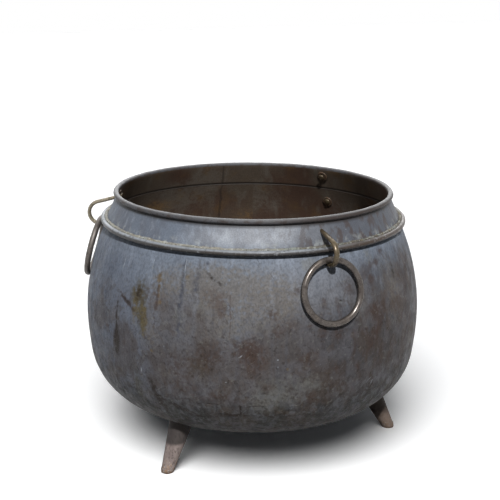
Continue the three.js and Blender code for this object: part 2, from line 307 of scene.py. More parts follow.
class Finish:
    """A metal surface: coats of colour, gloss and relief laid over the piece's own place"""

    def __init__(self, name, colour, roughness, metallic, specular=0.5):
        self.material = bpy.data.materials.new(name)
        self.material.use_nodes = True
        self.tree = self.material.node_tree
        self.shader = self.tree.nodes["Principled BSDF"]
        self.shader.inputs["Metallic"].default_value = metallic
        self.shader.inputs["Specular IOR Level"].default_value = specular
        self.place = self.add("ShaderNodeTexCoord").outputs["Object"]
        self.colour = (*colour, 1)
        self.roughness = roughness
        self.height = None
        self.flat = None

    def add(self, kind, operation=None, **inputs):
        node = self.tree.nodes.new(kind)
        if operation:
            node.operation = operation
        for key, value in inputs.items():
            self.feed(node.inputs[int(key[1:]) if key[1:].isdigit() else key], value)
        return node

    def feed(self, socket, value):
        if isinstance(value, bpy.types.NodeSocket):
            self.tree.links.new(value, socket)
        else:
            socket.default_value = value

    def maths(self, operation, a, b):
        return self.add("ShaderNodeMath", operation, _0=a, _1=b).outputs[0]

    def between(self, value, low, high):
        """0 at low, 1 at high and smooth between them"""
        node = self.add("ShaderNodeMapRange", _0=value, _1=low, _2=high)
        node.interpolation_type = "SMOOTHSTEP"
        return node.outputs[0]

    def cloud(self, size, low, high, stretch=(1, 1, 1), detail=4.0, shift=(0, 0, 0)):
        """A mask of blotches of about a size"""
        scaled = self.add("ShaderNodeMapping", _0=self.place, _1=shift)
        scaled.inputs["Scale"].default_value = Vector(stretch) / size
        noise = self.add("ShaderNodeTexNoise", Vector=scaled.outputs[0], Detail=detail)
        noise.inputs["Scale"].default_value = 1
        return self.between(noise.outputs[0], low, high)

    def specks(self, size, radius, shift=(0, 0, 0)):
        """A mask of scattered dots, one to a cell of a size"""
        scaled = self.add("ShaderNodeMapping", _0=self.place, _1=shift)
        scaled.inputs["Scale"].default_value = Vector((1, 1, 1)) / size
        cells = self.add("ShaderNodeTexVoronoi", Vector=scaled.outputs[0])
        cells.inputs["Scale"].default_value = 1
        return self.between(cells.outputs["Distance"], radius, radius * 0.4)

    def scratches(self, length, width, lean, share):
        """A mask of thin lines, leaning from upright by so many degrees"""
        turned_place = self.add("ShaderNodeMapping", _0=self.unrolled())
        turned_place.inputs["Rotation"].default_value = (0, 0, radians(lean))
        scaled = self.add("ShaderNodeMapping", _0=turned_place.outputs[0])
        scaled.inputs["Scale"].default_value = (1 / width, 1 / length, 1)
        noise = self.add("ShaderNodeTexNoise", Vector=scaled.outputs[0], Detail=2.0)
        noise.inputs["Scale"].default_value = 1
        return self.between(noise.outputs[0], share, share + scratch_edge)

    def level(self, low, high):
        """A mask that rises with height, or falls with it where low is above high"""
        split = self.add("ShaderNodeSeparateXYZ", _0=self.place)
        return self.between(split.outputs["Z"], low, high)

    def facing(self, heading, low, high):
        """A mask that rises towards one side of the pot"""
        reach = self.add("ShaderNodeVectorMath", "DOT_PRODUCT", _0=self.place)
        reach.inputs[1].default_value = (cos(radians(heading)), sin(radians(heading)), 0)
        return self.between(reach.outputs["Value"], low, high)

    def both(self, *masks):
        """A mask that holds only where all of its masks do"""
        total = masks[0]
        for mask in masks[1:]:
            total = self.maths("MULTIPLY", total, mask)
        return total

    def unrolled(self):
        """The wall laid out flat: metres round it from the middle of the front, and height"""
        if self.flat is None:
            faced = self.add("ShaderNodeMapping", _0=self.place)
            faced.inputs["Rotation"].default_value = (0, 0, radians(-front_middle))
            split = self.add("ShaderNodeSeparateXYZ", _0=faced.outputs[0])
            angle = self.maths("ARCTAN2", split.outputs["Y"], split.outputs["X"])
            along = self.maths("MULTIPLY", angle, widest_radius)
            joined = self.add("ShaderNodeCombineXYZ", _0=along, _1=split.outputs["Z"])
            wander = self.add("ShaderNodeTexNoise", Vector=self.place, Detail=3.0, Scale=wander_scale)
            ragged = self.add("ShaderNodeVectorMath", "MULTIPLY_ADD", _0=wander.outputs["Color"])
            ragged.inputs[1].default_value = (stain_wander, stain_wander, 0)
            self.feed(ragged.inputs[2], joined.outputs[0])
            shift = self.add("ShaderNodeVectorMath", "SUBTRACT", _0=ragged.outputs[0])
            shift.inputs[1].default_value = (stain_wander / 2, stain_wander / 2, 0)
            self.flat = shift.outputs[0]
        return self.flat

    def stains(self, marks):
        """One mask of marks, each an azimuth, a height, half its width and height, and a depth.
        A sixth value leans the mark, in degrees."""
        total = 0.0
        for around, height, wide, tall, depth, *lean in marks:
            angle = (around - front_middle + 180) % 360 - 180
            spot = self.add("ShaderNodeMapping", _0=self.unrolled())
            spot.vector_type = "TEXTURE"
            spot.inputs["Location"].default_value = (radians(angle) * widest_radius, height, 0)
            spot.inputs["Rotation"].default_value = (0, 0, radians(lean[0] if lean else 0))
            spot.inputs["Scale"].default_value = (wide * stain_fade, tall * stain_fade, 1)
            mark = self.add("ShaderNodeTexGradient", Vector=spot.outputs[0])
            mark.gradient_type = "SPHERICAL"
            laid = self.add("ShaderNodeMath", "MULTIPLY_ADD", _0=mark.outputs[1], _1=depth, _2=total)
            total = laid.outputs[0]
        frays = self.add("ShaderNodeTexNoise", Vector=self.place, Detail=9.0, Scale=stain_frays)
        frayed = self.add(
            "ShaderNodeMath", "MULTIPLY_ADD", _0=frays.outputs[0], _1=fray_gain, _2=fray_shift
        )
        return self.between(self.both(frayed.outputs[0], total), *stain_edge)

    def coat(self, mask, colour, strength):
        """Lays a colour where the mask is"""
        share = self.maths("MULTIPLY", mask, strength)
        mix = self.add("ShaderNodeMix")
        mix.data_type = "RGBA"
        self.feed(mix.inputs["Factor"], share)
        self.feed(mix.inputs[6], self.colour)
        self.feed(mix.inputs[7], (*colour, 1))
        self.colour = mix.outputs[2]

    def blotches(self, colour, strength, *cloud, levels=None, **more):
        """Lays a colour in blotches of about a size, faded between two levels if they are given"""
        mask = self.cloud(*cloud, **more)
        if levels:
            mask = self.both(mask, self.level(*levels))
        self.coat(mask, colour, strength)

    def stained(self, marks, colour, strength):
        self.coat(self.stains(marks), colour, strength)

    def gloss(self, mask, change):
        """Makes the surface rougher, or smoother, where the mask is"""
        self.roughness = self.maths("ADD", self.roughness, self.maths("MULTIPLY", mask, change))

    def relief(self, mask, depth):
        """Raises the surface by a depth in metres where the mask is"""
        raised = self.maths("MULTIPLY", mask, depth)
        self.height = raised if self.height is None else self.maths("ADD", self.height, raised)

    def done(self):
        """Joins the coats, gloss and relief to the shader"""
        self.feed(self.shader.inputs["Base Color"], self.colour)
        self.feed(self.shader.inputs["Roughness"], self.roughness)
        if self.height is not None:
            bump = self.add("ShaderNodeBump", Height=self.height)
            bump.inputs["Distance"].default_value = 1
            self.feed(self.shader.inputs["Normal"], bump.outputs[0])
        return self.material


def tone(red, green, blue):
    """A colour given as it looks on a screen, 0 to 255, in the shader's own scale"""
    return tuple(((c / 255 + 0.055) / 1.055) ** 2.4 if c > 10 else c / 3294.6 for c in (red, green, blue))


def rounded(piece):
    only(piece)
    bpy.ops.object.shade_smooth_by_angle(angle=radians(smooth_angle))


def stands_for(piece, body, node, slot, *finishes):
    """Gives a piece its finishes, hangs it from what carries it and hides the node that it stands for"""
    piece.data.materials.clear()
    for finish in finishes:
        piece.data.materials.append(finish)
    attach(piece, body)
    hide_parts(node)


lilac_grey = tone(111, 119, 131)
sunlit_lilac = tone(128, 131, 138)
skylit_slate_blue = tone(98, 106, 121)
warm_grey = tone(86, 81, 79)
film_grey = tone(101, 96, 91)
low_shade_grey = tone(77, 71, 68)
pan_grey = tone(35, 37, 33)
side_grey = tone(55, 52, 52)
pale_run = tone(150, 158, 172)
dark_run = tone(64, 68, 77)
low_lilac = tone(92, 91, 95)
brown = tone(66, 57, 51)
red_brown = tone(66, 51, 45)
dark_brown = tone(60, 47, 41)
umber = tone(34, 27, 22)
ochre = tone(88, 77, 50)
rust = tone(98, 82, 56)
olive = tone(66, 64, 52)
blue_black = tone(52, 57, 70)
pale_grey = tone(112, 112, 108)
chalk = tone(168, 174, 182)

ochre_marks = [
    (-156.3, 0.478, 0.014, 0.026, 0.9), (-156.8, 0.438, 0.006, 0.03, 0.7),
    (-152.6, 0.424, 0.006, 0.03, 1.5), (-154.2, 0.44, 0.01, 0.016, 0.6),
    (-113.4, 0.522, 0.01, 0.006, 0.4), (40, 0.45, 0.014, 0.03, 0.8), (95, 0.38, 0.01, 0.035, 0.8),
    (-10, 0.5, 0.01, 0.024, 0.7),
]
rust_marks = [
    (-148.5, 0.527, 0.008, 0.009, 1.2), (-147.8, 0.492, 0.0026, 0.02, 0.6),
    (-147.2, 0.474, 0.004, 0.005, 1.1), (-138.0, 0.543, 0.005, 0.004, 1.0),
    (-105.4, 0.328, 0.0026, 0.0026, 1.2), (-149.1, 0.351, 0.004, 0.004, 0.9),
    (20, 0.53, 0.007, 0.009, 1.0), (20.5, 0.5, 0.003, 0.03, 0.7), (110, 0.47, 0.006, 0.006, 0.9),
]
umber_marks = [
    (-165.2, 0.348, 0.01, 0.026, 1.5), (-165.3, 0.342, 0.004, 0.014, 0.9),
    (-165.5, 0.41, 0.003, 0.04, 1.1), (-161.2, 0.456, 0.032, 0.0034, 0.9, -24),
    (-156.2, 0.484, 0.01, 0.016, 0.9), (-129.2, 0.545, 0.024, 0.004, 0.8, -34),
    (-87, 0.484, 0.005, 0.003, 0.7), (-90.4, 0.484, 0.003, 0.003, 0.5),
    (-148, 0.225, 0.007, 0.044, 1.5, 24), (-141, 0.212, 0.04, 0.005, 1.4, -20),
    (-128, 0.196, 0.05, 0.003, 0.9, 6), (-104, 0.2, 0.06, 0.003, 0.8, -5),
    (-123.2, 0.2035, 0.028, 0.0022, 2.0), (-119.6, 0.2175, 0.0022, 0.012, 2.0),
    (-115.8, 0.232, 0.024, 0.0018, 1.2), (-130.4, 0.232, 0.024, 0.0016, 1.2),
    (-60, 0.52, 0.006, 0.02, 0.8), (60, 0.36, 0.01, 0.04, 1.0), (130, 0.42, 0.012, 0.03, 0.9),
]
brown_marks = [
    (-171, 0.377, 0.007, 0.006, 1.2), (-130, 0.351, 0.04, 0.03, 0.9),
    (-140, 0.33, 0.026, 0.026, 0.7), (-120, 0.392, 0.04, 0.016, 0.5),
    (-118, 0.372, 0.024, 0.02, 0.8), (-110, 0.464, 0.014, 0.013, 0.9),
    (-108, 0.423, 0.012, 0.012, 0.9), (-111.4, 0.283, 0.014, 0.01, 0.9),
    (-97.4, 0.255, 0.013, 0.014, 1.1), (-107.4, 0.215, 0.02, 0.01, 0.9),
    (-101.7, 0.516, 0.007, 0.007, 0.9), (-98.2, 0.43, 0.006, 0.006, 0.8),
    (-93, 0.484, 0.005, 0.007, 1.0), (-88.4, 0.455, 0.01, 0.03, 0.5),
    (-83.5, 0.512, 0.013, 0.016, 0.8), (-69, 0.553, 0.007, 0.007, 1.0),
    (-71.4, 0.549, 0.006, 0.007, 0.9), (-73, 0.517, 0.011, 0.011, 1.1),
    (-65, 0.576, 0.01, 0.01, 0.9), (-71.7, 0.409, 0.06, 0.011, 1.5, 58),
    (-73, 0.441, 0.024, 0.014, 1.3), (-61.6, 0.438, 0.022, 0.015, 1.3),
    (-78.4, 0.398, 0.01, 0.009, 1.1), (-88, 0.402, 0.012, 0.012, 0.7),
    (-83, 0.4, 0.007, 0.01, 0.9), (-58.4, 0.402, 0.012, 0.008, 0.9),
    (-89, 0.318, 0.007, 0.009, 1.0), (-81, 0.311, 0.01, 0.01, 1.0),
    (-62, 0.336, 0.006, 0.006, 0.9), (-49, 0.348, 0.016, 0.014, 0.9),
    (-53, 0.481, 0.013, 0.018, 0.9), (-56, 0.504, 0.018, 0.02, 0.8),
    (-82.5, 0.25, 0.01, 0.009, 0.9), (-45.4, 0.524, 0.018, 0.014, 0.9),
    (-94.0, 0.43, 0.008, 0.044, 0.7), (-148.4, 0.48, 0.004, 0.06, 0.9),
    (-161.2, 0.456, 0.032, 0.0046, 1.5, -24), (-99.5, 0.355, 0.02, 0.024, 0.8),
    (-126, 0.255, 0.05, 0.014, 0.8),
]
red_marks = [
    (-116, 0.362, 0.026, 0.036, 1.2), (-139, 0.285, 0.036, 0.042, 0.8),
    (-126, 0.477, 0.007, 0.016, 1.0), (-128, 0.493, 0.034, 0.024, 0.8),
    (-149.5, 0.487, 0.05, 0.026, 0.6), (-123.2, 0.46, 0.0014, 0.044, 1.1),
    (-105, 0.44, 0.03, 0.02, 0.5),
]
olive_marks = [
    (-107.4, 0.217, 0.024, 0.01, 0.9), (-133, 0.33, 0.04, 0.03, 0.5),
    (-155.6, 0.48, 0.022, 0.032, 1.0), (-153.4, 0.425, 0.01, 0.034, 0.9),
    (-156, 0.24, 0.01, 0.05, 0.8),
]
blue_marks = [
    (-139.6, 0.5, 0.006, 0.1, 0.8), (-134.7, 0.525, 0.01, 0.046, 0.6),
    (-131.7, 0.577, 0.006, 0.007, 0.7), (-174, 0.47, 0.03, 0.12, 0.5),
]
film_marks = [
    (-133, 0.535, 0.08, 0.03, 1.1), (-120, 0.51, 0.08, 0.05, 1.0), (-148, 0.5, 0.036, 0.03, 0.7),
    (-125, 0.415, 0.06, 0.03, 0.5), (-106, 0.49, 0.05, 0.05, 0.6), (-62, 0.47, 0.04, 0.06, 0.9),
    (-150, 0.4, 0.03, 0.04, 0.6),
]
pale_marks = [
    (-139.5, 0.453, 0.012, 0.016, 0.9), (-131.2, 0.478, 0.024, 0.014, 0.8),
    (-108, 0.265, 0.05, 0.034, 1.0), (-97, 0.285, 0.024, 0.022, 0.8),
    (-112, 0.232, 0.03, 0.02, 0.6), (-118, 0.44, 0.06, 0.018, 0.4), (-143, 0.3, 0.02, 0.014, 0.6),
    (-97.0, 0.574, 0.016, 0.01, 1.3), (-79.0, 0.46, 0.02, 0.04, 0.6),
    (-72, 0.575, 0.01, 0.014, 0.9),
]
chalk_marks = [
    (-147.5, 0.182, 0.005, 0.003, 0.9), (-108, 0.355, 0.0014, 0.0014, 1.2),
    (-108, 0.335, 0.0018, 0.0018, 1.2), (-123.8, 0.296, 0.0014, 0.0014, 1.2),
    (-154, 0.29, 0.0014, 0.006, 1.0), (-144.5, 0.37, 0.0018, 0.0022, 0.5),
    (-75.4, 0.262, 0.008, 0.0014, 0.9, 30), (-75.4, 0.241, 0.006, 0.0014, 0.8, -30),
    (-120, 0.365, 0.005, 0.0012, 0.9, 40), (-73.8, 0.252, 0.007, 0.0016, 1.2, 50),
    (-94, 0.574, 0.01, 0.0014, 0.9, 50), (-152, 0.56, 0.0012, 0.014, 0.9),
    (-139.2, 0.563, 0.0012, 0.02, 0.8), (-166, 0.545, 0.0014, 0.01, 0.8),
]

wall = Finish("aged_copper", lilac_grey, 0.48, 0.0, specular=0.12)
wall.blotches(
    warm_grey, 0.85, 0.17, 0.36, 0.6, (1, 1, 0.8), detail=6, shift=(4, 1, 2), levels=(0.6, 0.44)
)
# Painted sunlight: the upper front of the wall is laid paler, as where the light falls on it.
painted_sunlight = wall.both(wall.facing(-97, 0.37, 0.45), wall.level(0.42, 0.52))
# Painted shade: the wall is laid darker towards the bottom.
wall.coat(wall.level(0.52, 0.29), low_shade_grey, 0.8)
wall.coat(wall.both(wall.facing(-40, 0.06, 0.34), wall.level(0.6, 0.5)), side_grey, 0.78)
wall.coat(wall.level(0.28, 0.17), pan_grey, 0.82)
wall.coat(painted_sunlight, sunlit_lilac, 0.82)
# Painted shade: the lower right side is darker still.
wall.coat(wall.both(wall.facing(-48, 0.14, 0.34), wall.level(0.3, 0.18)), umber, 0.3)
right_runs = wall.cloud(0.026, 0.47, 0.58, (1, 1, 0.4), detail=8, shift=(3, 5, 1))
right_side = wall.both(wall.facing(-56, 0.33, 0.42), wall.level(0.24, 0.34), wall.level(0.59, 0.54))
wall.coat(wall.both(right_runs, right_side), dark_brown, 0.62)
# The left side is laid bluer and paler: a bluer patina, and painted sky light.
blue_skylit_side = wall.both(wall.facing(180, 0.34, 0.45), wall.level(0.15, 0.3), wall.level(0.6, 0.54))
wall.coat(blue_skylit_side, skylit_slate_blue, 0.66)
wall.blotches(low_lilac, 0.52, 0.075, 0.5, 0.62, detail=9, shift=(5, 3, 8), levels=(0.58, 0.46))
wall.blotches(
    brown, 0.62, 0.09, 0.48, 0.6, (1, 1, 0.8), detail=9, shift=(9, 4, 2), levels=(0.58, 0.36)
)
wall.blotches(brown, 0.44, 0.022, 0.53, 0.62, detail=8, shift=(1, 7, 3), levels=(0.6, 0.45))
wall.blotches(
    pale_run, 0.3, 0.018, 0.48, 0.72, (1, 1, 0.05), detail=4, shift=(1, 2, 0), levels=(0.38, 0.56)
)
wall.blotches(dark_run, 0.3, 0.02, 0.5, 0.72, (1, 1, 0.06), detail=4, shift=(6, 2, 5))
wall.blotches(dark_run, 0.1, 0.03, 0.46, 0.62, detail=9, shift=(6, 6, 1), levels=(0.3, 0.5))
wall.stained(film_marks, film_grey, 0.75)
wall.stained(pale_marks, pale_grey, 0.5)
wall.stained(blue_marks, blue_black, 0.75)
wall.stained(olive_marks, olive, 0.8)
wall.stained(red_marks, red_brown, 0.52)
wall.stained(brown_marks, dark_brown, 0.68)
wall.blotches(
    low_lilac, 0.3, 0.024, 0.5, 0.6, (1, 1, 0.6), detail=9, shift=(3, 3, 7), levels=(0.58, 0.4)
)
wall.stained(ochre_marks, ochre, 0.7)
wall.stained(umber_marks, umber, 0.88)
wall.stained(rust_marks, rust, 0.62)
wall.stained(chalk_marks, chalk, 0.6)
wall.blotches(umber, 0.42, 0.01, 0.58, 0.66, detail=7, shift=(8, 2, 7), levels=(0.56, 0.4))
wall.blotches(pale_grey, 0.34, 0.009, 0.6, 0.68, detail=6, shift=(2, 9, 4))
wall.coat(wall.scratches(0.06, 0.003, 52, 0.66), pale_grey, 0.35)
wall.coat(wall.scratches(0.08, 0.0034, -30, 0.67), umber, 0.4)
wall.coat(wall.specks(0.034, 0.03), chalk, 0.55)
wall.coat(wall.specks(0.019, 0.055, shift=(4, 4, 4)), pale_run, 0.3)
# Painted shade: a dark band on the wall just under the bead, and the wall darker again towards the
# underside.
wall.coat(wall.level(0.59, 0.597), umber, 0.7)
wall.coat(wall.level(0.2, 0.16), umber, 0.36)
grain = wall.cloud(0.005, 0.44, 0.62, (1, 1, 0.7), detail=6)
wall.coat(grain, tone(40, 39, 42), 0.24)
wall.blotches(
    tone(104, 106, 110), 0.34, 0.016, 0.52, 0.6, (1, 1, 0.7),
    detail=10, shift=(9, 9, 3), levels=(0.34, 0.22)
)
wall.blotches(umber, 0.48, 0.015, 0.56, 0.63, detail=9, shift=(2, 5, 9), levels=(0.34, 0.22))
wall.blotches(
    tone(26, 26, 24), 0.6, 0.018, 0.53, 0.6, (1, 1, 0.8),
    detail=12, shift=(0, 6, 6), levels=(0.3, 0.16)
)
wall.gloss(wall.cloud(0.03, 0.35, 0.65, shift=(2, 7, 1)), 0.16)
wall.relief(grain, 0.0003)
wall.relief(wall.cloud(0.03, 0.3, 0.7, detail=2, shift=(7, 7, 7)), 0.001)
pits = wall.cloud(0.014, 0.45, 0.6, detail=6, shift=(5, 1, 7))
wall.relief(wall.both(pits, wall.level(0.26, 0.2)), 0.0012)
wall_finish = wall.done()

# Pale patches on the inner wall. The ones at the back, from 60 to 100 degrees round, are painted
# sunlight.
inside_pale_sunlit = [
    (100, 0.575, 0.09, 0.04, 1.2), (84, 0.63, 0.05, 0.03, 1.0), (60, 0.56, 0.06, 0.04, 0.8),
    (20, 0.54, 0.06, 0.05, 0.8), (-60, 0.5, 0.06, 0.05, 0.8),
]
inside_ochre = [
    (110, 0.55, 0.05, 0.022, 1.2), (66, 0.5, 0.04, 0.02, 0.6), (-20, 0.48, 0.05, 0.03, 0.8),
]
inside_seam = [(78, 0.600, 0.0026, 0.080, 2.0), (78, 0.400, 0.0026, 0.160, 2.0)]

inside = Finish("pot_inside", tone(74, 56, 46), 0.6, 0.0, specular=0.3)
inside.blotches(tone(90, 82, 71), 0.66, 0.16, 0.4, 0.56, (1, 1, 0.6))
inside.blotches(tone(96, 74, 46), 0.6, 0.07, 0.5, 0.72, shift=(2, 5, 1))
inside.blotches(tone(110, 106, 98), 0.45, 0.03, 0.52, 0.78, (1, 1, 0.15), shift=(8, 2, 1))
inside.coat(inside.level(0.5, 0.2), tone(44, 38, 34), 0.6)
inside.stained(inside_pale_sunlit, tone(104, 98, 90), 0.5)
inside.stained(inside_ochre, tone(120, 92, 54), 0.6)
inside.stained(inside_seam, tone(44, 37, 32), 0.55)
inside.coat(inside.specks(0.028, 0.05), tone(134, 128, 116), 0.5)
rough_inside = inside.cloud(0.004, 0.3, 0.7)
inside.coat(rough_inside, tone(44, 36, 32), 0.3)
lap_edge = inside.both(inside.level(0.607, 0.611), inside.level(0.619, 0.615))
inside.coat(lap_edge, tone(34, 28, 24), 0.92)
inside.relief(rough_inside, 0.0002)
inside_finish = inside.done()

for piece, node in ((pan_wall, "base_pan"), (belly_wall, "belly_shell")):
    stands_for(piece, "pot", node, "copper_patina", wall_finish, inside_finish)
    modified(piece, "SOLIDIFY", thickness=sheet, offset=-1, material_offset=1)
    modified(piece, "BEVEL", width=seam_edge, segments=1, angle_limit=radians(seam_angle))
    rounded(piece)


def line_inside(piece, wanted):
    """Gives the faces that are wanted the piece's second finish"""
    pick_faces(piece, wanted)
    piece.active_material_index = 1
    bpy.ops.object.material_slot_assign()
    bpy.ops.object.mode_set(mode="OBJECT")


def on_belly_top(middle, normal):
    return middle.z > shoulder[-1].y - top_edge_depth and normal.z > 0.5


line_inside(belly_wall, on_belly_top)

# Neck collar
# A cone of copper sheet lapped over the belly's top edge and soldered there. Its upper edge is
# rolled outward over an iron wire, and it takes the upper ends of the three ears.
collar_gap = 0.0003
roll_radius = 0.007
roll_end = -88
neck_run = 0.029
mouth_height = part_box("neck_collar")[1].z - roll_radius
mouth_radius = joint.x - neck_run
collar_rows = 9
roll_rows = 20
rim_wave = 0.05
rim_wave_depth = 0.0012

neck = Finish("collar_copper", tone(104, 112, 124), 0.46, 0.0, specular=0.16)
lit_front = neck.both(neck.facing(-110, 0.3, 0.38), neck.level(0.6, 0.64))
neck.coat(lit_front, tone(172, 176, 182), 0.85)
neck.blotches(tone(84, 84, 90), 0.4, 0.06, 0.46, 0.6, (1, 1, 0.5), detail=7)
neck.blotches(tone(150, 158, 170), 0.42, 0.012, 0.5, 0.75, (1, 1, 0.12), shift=(2, 2, 0))
neck.blotches(tone(84, 80, 84), 0.5, 0.02, 0.56, 0.8, shift=(1, 6, 4))
worn = neck.level(0.66, 0.668)
# The collar's right side, its rim too, is laid darker: slate and brown patina, and painted shade.
slate_and_shaded_side = neck.facing(-46, 0.12, 0.3)
neck.coat(slate_and_shaded_side, tone(80, 82, 88), 0.8)
brown_runs = neck.cloud(0.02, 0.5, 0.62, (1, 1, 0.3), detail=7, shift=(7, 7, 2))
neck.coat(neck.both(slate_and_shaded_side, brown_runs), tone(70, 58, 52), 0.7)
neck.coat(worn, tone(76, 74, 74), 0.88)
neck.coat(neck.both(worn, slate_and_shaded_side), tone(58, 48, 42), 0.8)
# Painted shade: a dark band on the collar just under the roll.
shade_under_roll = neck.both(neck.level(0.655, 0.663), neck.level(0.673, 0.668))
neck.coat(shade_under_roll, tone(40, 37, 35), 0.75)
neck.blotches(
    tone(44, 40, 38), 0.6, 0.008, 0.58, 0.68, detail=6, shift=(4, 4, 1), levels=(0.66, 0.668)
)
neck.blotches(
    tone(62, 52, 46), 0.75, 0.02, 0.46, 0.62, detail=7, shift=(3, 3, 9), levels=(0.66, 0.668)
)
# The roll's top is laid paler: rubbed wear and a painted highlight.
neck.coat(neck.level(0.677, 0.68), tone(140, 142, 144), 0.4)
neck.blotches(
    tone(160, 164, 162), 0.55, 0.016, 0.52, 0.66, (1, 1, 0.6),
    detail=8, shift=(5, 0, 2), levels=(0.634, 0.614)
)
neck.coat(neck.specks(0.024, 0.05), tone(184, 192, 202), 0.5)
collar_grain = neck.cloud(0.003, 0.3, 0.7, detail=5)
neck.coat(collar_grain, tone(60, 60, 66), 0.3)
neck.relief(collar_grain, 0.0002)
neck.relief(neck.cloud(0.02, 0.3, 0.7, detail=1), 0.0004)
collar_finish = neck.done()

cone_out = Vector((cos(cone_tilt), sin(cone_tilt)))
collar_foot = joint + cone_out * collar_gap
roll_centre = Vector((mouth_radius, mouth_height))
roll_start = pi + cone_tilt
roll_turn = radians(roll_end) - roll_start
roll = []
for i in range(roll_rows + 1):
    a = roll_start + roll_turn * i / roll_rows
    roll.append(roll_centre + Vector((cos(a), sin(a))) * roll_radius)
collar_section = [collar_foot.lerp(roll[0], i / collar_rows) for i in range(collar_rows)] + roll
collar = turned("collar_sheet", collar_section, pot_columns)
stands_for(collar, "pot", "neck_collar", "copper_patina", collar_finish, inside_finish)
modified(collar, "SOLIDIFY", thickness=sheet, offset=-1)
hammered(collar, rim_wave, rim_wave_depth)


def on_collar_inside(middle, normal):
    return middle.z < roll[0].y + slack and normal.dot(Vector((middle.x, middle.y, 0))) < 0


line_inside(collar, on_collar_inside)
rounded(collar)

# Rim wire
# The iron wire that the rim is rolled over. It shows only as a dark line under the roll.
iron = Finish("dark_iron", tone(58, 54, 50), 0.6, 0.6)
iron.blotches(tone(84, 58, 42), 0.7, 0.02, 0.4, 0.7)
nodes["rim_wire"].data.materials.clear()
nodes["rim_wire"].data.materials.append(iron.done())

# Shoulder bead
# A 14 mm copper rod bent round the neck and soldered over the lap of collar and belly.
# Its top is painted pale as a highlight, and its underside is brown and painted dark as shade.
bead_rod = 0.007
bead_height = 0.605
bead_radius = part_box("shoulder_bead")[1].x - bead_rod
bead_wave = 0.03
bead_wave_depth = 0.0009
bead_columns = 288
bead_sides = 20


def hoop(name, radius, height, rod, columns, sides):
    """A rod bent to a level ring about the pot's axis"""
    bpy.ops.object.select_all(action="DESELECT")
    bpy.ops.mesh.primitive_torus_add(
        major_radius=radius, minor_radius=rod, major_segments=columns, minor_segments=sides
    )
    piece = bpy.context.object
    piece.name = name
    bpy.ops.object.mode_set(mode="EDIT")
    bpy.ops.mesh.select_all(action="SELECT")
    bpy.ops.transform.translate(value=(0, 0, height))
    bpy.ops.object.mode_set(mode="OBJECT")
    return piece


bead_metal = Finish("rubbed_bead", tone(72, 70, 70), 0.34, 0.1, specular=0.2)
bead_metal.blotches(tone(60, 54, 50), 0.7, 0.06, 0.46, 0.6, shift=(4, 4, 0))
# Painted highlight along the bead's top.
bead_highlight = bead_metal.level(bead_height + 0.0015, bead_height + 0.006)
bead_metal.coat(bead_highlight, tone(142, 147, 153), 0.8)
bead_metal.coat(bead_metal.facing(-50, 0.26, 0.38), tone(66, 54, 45), 0.88)
# Painted shade on the bead's underside.
bead_metal.coat(bead_metal.level(bead_height + 0.0005, bead_height - 0.004), tone(34, 32, 30), 0.9)
bead_metal.blotches(tone(54, 51, 49), 0.5, 0.012, 0.52, 0.66, detail=6, shift=(6, 1, 3))
bead_metal.blotches(tone(150, 154, 158), 0.4, 0.007, 0.58, 0.68, detail=6, shift=(1, 1, 8))
bead_metal.gloss(bead_metal.cloud(0.02, 0.4, 0.7), 0.15)
bead_metal.relief(bead_metal.cloud(0.004, 0.3, 0.7), 0.00015)
bead_finish = bead_metal.done()
bead = hoop("bead_rod", bead_radius, bead_height, bead_rod, bead_columns, bead_sides)
hammered(bead, bead_wave, bead_wave_depth)
rounded(bead)
stands_for(bead, "pot", "shoulder_bead", "bead_copper", bead_finish)

# Solder line
# The solder run into the corner between the bead and the collar. It stands uneven along the
# bead's top, grey for the most part, creamier to the left and brown to the right.
solder_radius = bead_radius - 0.0074
solder_height = bead_height + 0.0060
solder_size = 0.0046
solder_lumps = 0.011
solder_lump_height = 0.0056
solder_columns = 480
solder_sides = 10

solder = Finish("weathered_solder", tone(122, 122, 114), 0.65, 0.0, specular=0.2)
solder.blotches(tone(98, 100, 102), 0.88, 0.04, 0.44, 0.54, detail=6, shift=(1, 1, 1))
solder.coat(solder.facing(-50, 0.2, 0.34), tone(82, 75, 64), 0.85)
solder.coat(solder.facing(180, 0.06, 0.22), tone(150, 144, 132), 0.55)
solder.blotches(tone(130, 142, 138), 0.35, 0.018, 0.54, 0.64, shift=(6, 3, 1))
solder.blotches(tone(104, 94, 70), 0.6, 0.04, 0.58, 0.66, shift=(2, 8, 5))
solder.blotches(tone(184, 188, 184), 0.4, 0.006, 0.52, 0.62, detail=6, shift=(5, 5, 1))
solder.blotches(tone(70, 68, 62), 0.7, 0.005, 0.56, 0.64, detail=6, shift=(9, 5, 1))
solder.relief(solder.cloud(0.003, 0.3, 0.7), 0.0005)
solder_finish = solder.done()
solder_line = hoop(
    "solder_line", solder_radius, solder_height, solder_size, solder_columns, solder_sides
)
hammered(solder_line, solder_lumps, solder_lump_height)
rounded(solder_line)
solder_line.data.materials.append(solder_finish)
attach(solder_line, "pot")

# Ears
# Three bent bronze rods. Each goes through the collar, out over the bead and back into the
# belly, and is hammered over a copper rove at both ends. It is thickest where its ring hangs.
ear_leg_height = 0.571
ear_bend = 0.031
ear_reach = 0.450
ear_slope = radians(15)
ear_upper = (0.0045, 0.0045)
ear_top = (0.0050, 0.0072)
ear_hang = (0.0053, 0.0074)
ear_foot = (0.0055, 0.0055)
ear_sides = 24
leg_steps = 6
bend_steps = 24
upper_growth = 4
lower_growth = 3
ear_blows = 0.012
ear_blow_depth = 0.0006
ear_turns = {"front": 0, "right": 120, "left": 240}
head_radius = 0.009
head_height = 0.0042
head_bury = 0.002
head_segments = 28
head_rings = 14
stack_depth = 0.0059
ear_inner = -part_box("ear_front")[1].y

